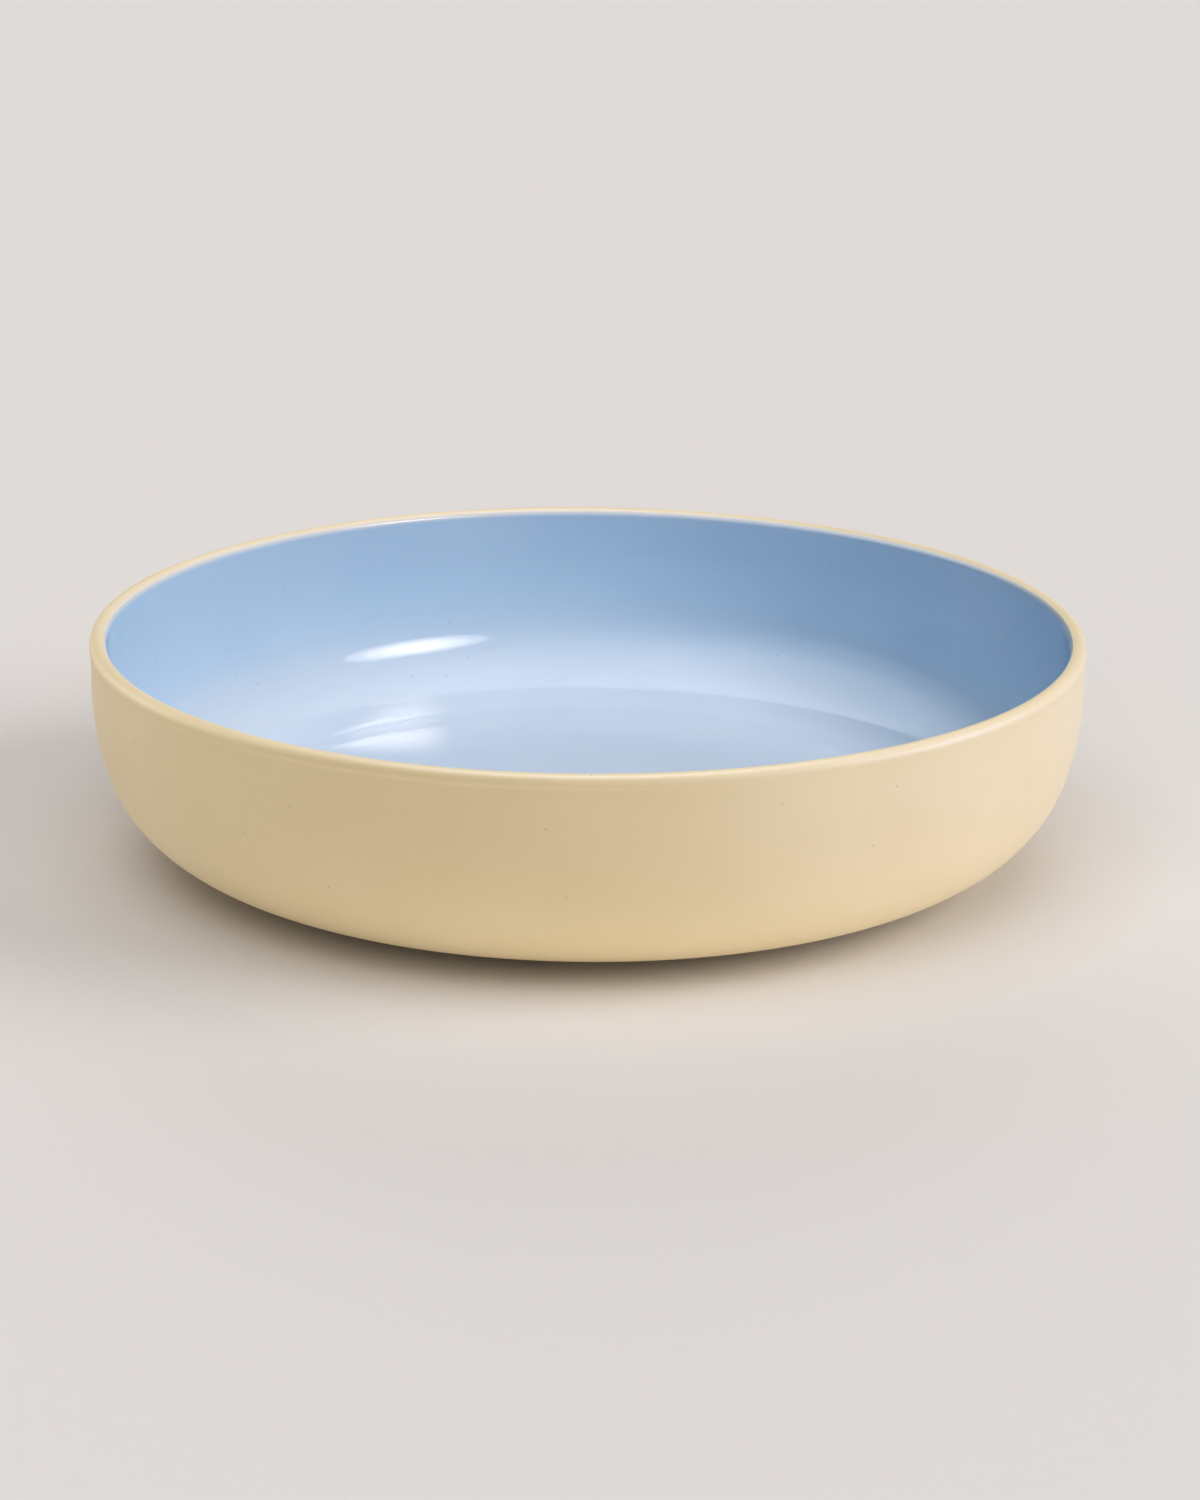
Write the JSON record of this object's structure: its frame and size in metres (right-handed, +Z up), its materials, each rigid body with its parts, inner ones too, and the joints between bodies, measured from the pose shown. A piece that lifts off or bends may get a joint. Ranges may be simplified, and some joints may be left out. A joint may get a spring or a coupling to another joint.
{
  "type": "serving bowl",
  "caption": "Low, wide round serving bowl in stoneware with a rolled lip and a foot ring, cream glaze outside and blue glaze inside, for holding and serving food.",
  "frame": {"origin": "centre of the foot ring, on the plane that the bowl stands on", "axes": "+Z up along the axis the bowl is turned about; the bowl is round, so +X and +Y are free"},
  "size_m": [0.3, 0.3, 0.07],
  "materials": {
    "stoneware": "matte",
    "cream_glaze": "satin",
    "blue_glaze": "gloss"
  },
  "bodies": {
    "root": {"stoneware_body": "stoneware", "foot_ring": "stoneware", "outer_glaze": "cream_glaze", "inner_glaze": "blue_glaze", "base_glaze": "cream_glaze"}
  },
  "joints": []
}
